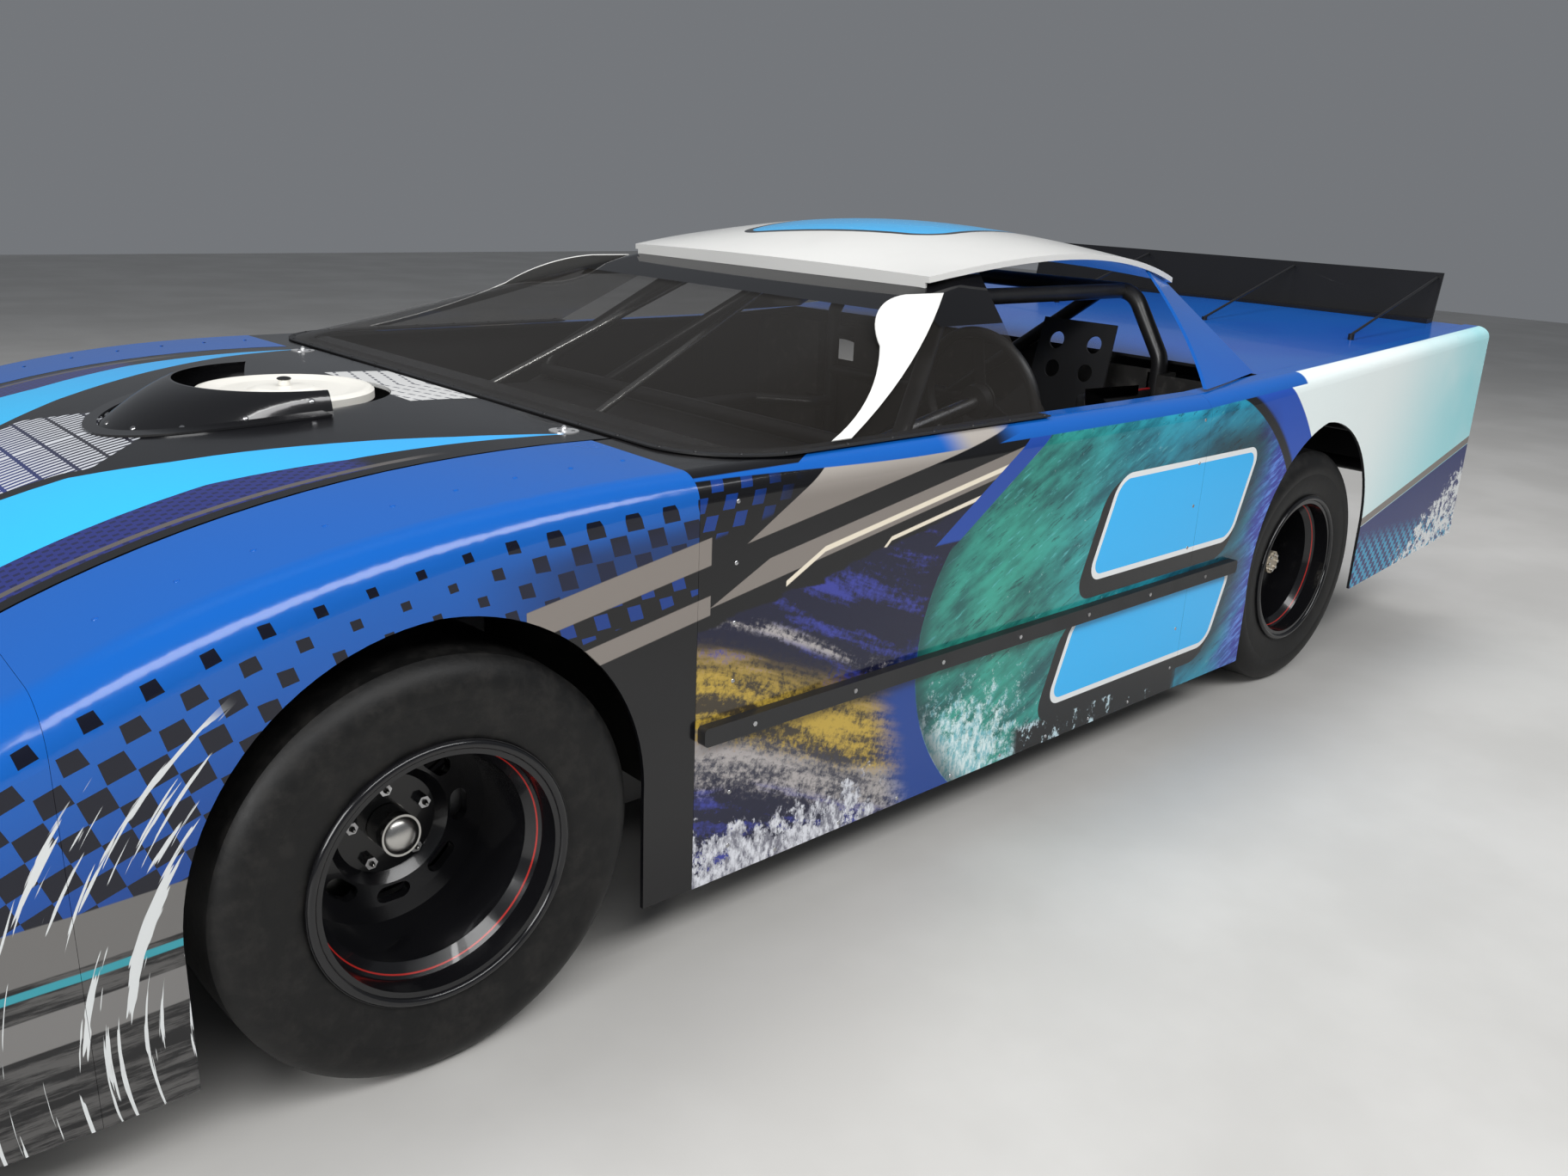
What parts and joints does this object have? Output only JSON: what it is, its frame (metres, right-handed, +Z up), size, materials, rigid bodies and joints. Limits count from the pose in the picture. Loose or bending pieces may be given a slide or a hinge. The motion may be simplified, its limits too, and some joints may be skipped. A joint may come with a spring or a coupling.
{
  "type": "stock car",
  "caption": "Wedge-bodied asphalt stock car with sheet-panel bodywork, roll cage, hood scoop, rear spoiler, wide slick tyres, steering front wheels and a hinged hood",
  "frame": {"origin": "On the floor under the middle of the car, half way between the axles on the centre line", "axes": "+X to the nose, +Y to the driver's side (left), +Z up"},
  "size_m": [4.8364, 1.9806, 1.2254],
  "materials": {
    "panel_blue": "royal blue gloss vinyl-wrapped bodywork",
    "hood_black": "gloss black hood with cyan swoops",
    "roof_white": "gloss white moulded roof",
    "screen_clear": "clear polycarbonate sheet",
    "gloss_black": "gloss black moulding",
    "satin_black": "satin black plastic",
    "frame_black": "black painted steel tube",
    "tin_silver": "bare aluminium sheet",
    "cleaner_white": "white lid over a pleated filter",
    "rim_black": "gloss black steel wheel",
    "tyre_rubber": "slick tyre rubber",
    "steel_parts": "machined steel",
    "cast_grey": "cast engine and axle",
    "seat_black": "covered aluminium seat"
  },
  "bodies": {
    "car": {"air_cleaner": "cleaner_white", "bumper_bars": "frame_black", "cabin_tin": "tin_silver", "cage_braces": "frame_black", "cage_door_bars": "frame_black", "cage_main_hoop": "frame_black", "cage_roof_hoop": "frame_black", "cowl_panel": "hood_black", "dash_panel": "satin_black", "door_panels": "panel_blue", "drive_shaft": "steel_parts", "engine_block": "cast_grey", "front_arms": "steel_parts", "front_clip": "frame_black", "front_fenders": "panel_blue", "front_springs": "steel_parts", "fuel_cell": "satin_black", "gearbox": "cast_grey", "grille_screen": "satin_black", "hood_hinges": "steel_parts", "main_frame": "frame_black", "nose_cover": "panel_blue", "quarter_panels": "panel_blue", "radiator": "tin_silver", "rear_axle": "cast_grey", "rear_deck": "panel_blue", "rear_links": "steel_parts", "rear_springs": "steel_parts", "roof": "roof_white", "rub_rails": "satin_black", "sail_panels": "panel_blue", "seat": "seat_black", "spoiler": "satin_black", "steering_column": "steel_parts", "steering_rack": "cast_grey", "tail_panel": "panel_blue", "tow_eyes": "steel_parts", "windscreen": "screen_clear", "windscreen_post_covers": "roof_white", "windscreen_trim": "satin_black"},
    "hood": {"hood": "hood_black", "hood_scoop": "gloss_black"},
    "steering_wheel": {"steering_wheel": "satin_black"},
    "tie_rods": {"tie_rods": "steel_parts"},
    "knuckle_left": {"knuckle_left": "cast_grey"},
    "knuckle_right": {"knuckle_right": "cast_grey"},
    "wheel_front_left": {"wheel_front_left": "rim_black", "tyre_front_left": "tyre_rubber", "hub_front_left": "steel_parts"},
    "wheel_front_right": {"wheel_front_right": "rim_black", "tyre_front_right": "tyre_rubber", "hub_front_right": "steel_parts"},
    "wheel_rear_left": {"wheel_rear_left": "rim_black", "tyre_rear_left": "tyre_rubber", "hub_rear_left": "steel_parts"},
    "wheel_rear_right": {"wheel_rear_right": "rim_black", "tyre_rear_right": "tyre_rubber", "hub_rear_right": "steel_parts"}
  },
  "joints": [
    {"name": "front_left_spin", "type": "hinge", "parent": "knuckle_left", "child": "wheel_front_left", "pos_m": [1.32, 0.838, 0.335], "axis": [0, 1, 0], "continuous": true},
    {"name": "front_right_spin", "type": "hinge", "parent": "knuckle_right", "child": "wheel_front_right", "pos_m": [1.32, -0.838, 0.335], "axis": [0, 1, 0], "continuous": true},
    {"name": "rear_left_spin", "type": "hinge", "parent": "car", "child": "wheel_rear_left", "pos_m": [-1.32, 0.812, 0.335], "axis": [0, 1, 0], "continuous": true},
    {"name": "rear_right_spin", "type": "hinge", "parent": "car", "child": "wheel_rear_right", "pos_m": [-1.32, -0.812, 0.335], "axis": [0, 1, 0], "continuous": true},
    {"name": "steer", "type": "hinge", "parent": "car", "child": "knuckle_left", "pos_m": [1.32, 0.69, 0.335], "axis": [0, 0, 1], "range_deg": [-20, 20]},
    {"name": "steer_right", "type": "hinge", "parent": "car", "child": "knuckle_right", "pos_m": [1.32, -0.69, 0.335], "axis": [0, 0, 1], "range_deg": [-20.5, 20.5]},
    {"name": "rack_slide", "type": "slide", "parent": "car", "child": "tie_rods", "axis": [0, 1, 0], "range_m": [-0.047, 0.047]},
    {"name": "steering_wheel_turn", "type": "hinge", "parent": "car", "child": "steering_wheel", "pos_m": [-0.52, 0.4, 0.79], "axis": [-0.9815, 0, 0.1912], "range_deg": [-185, 185]},
    {"name": "hood_hinge", "type": "hinge", "parent": "car", "child": "hood", "pos_m": [1.8, 0, 0.751], "axis": [0, 1, 0], "range_deg": [0, 55]}
  ],
  "couplings": [
    {"joint": "steer_right", "follows": "steer", "ratio": 1},
    {"joint": "rack_slide", "follows": "steer", "m_per_rad": 0.13},
    {"joint": "steering_wheel_turn", "follows": "steer", "ratio": 9}
  ]
}
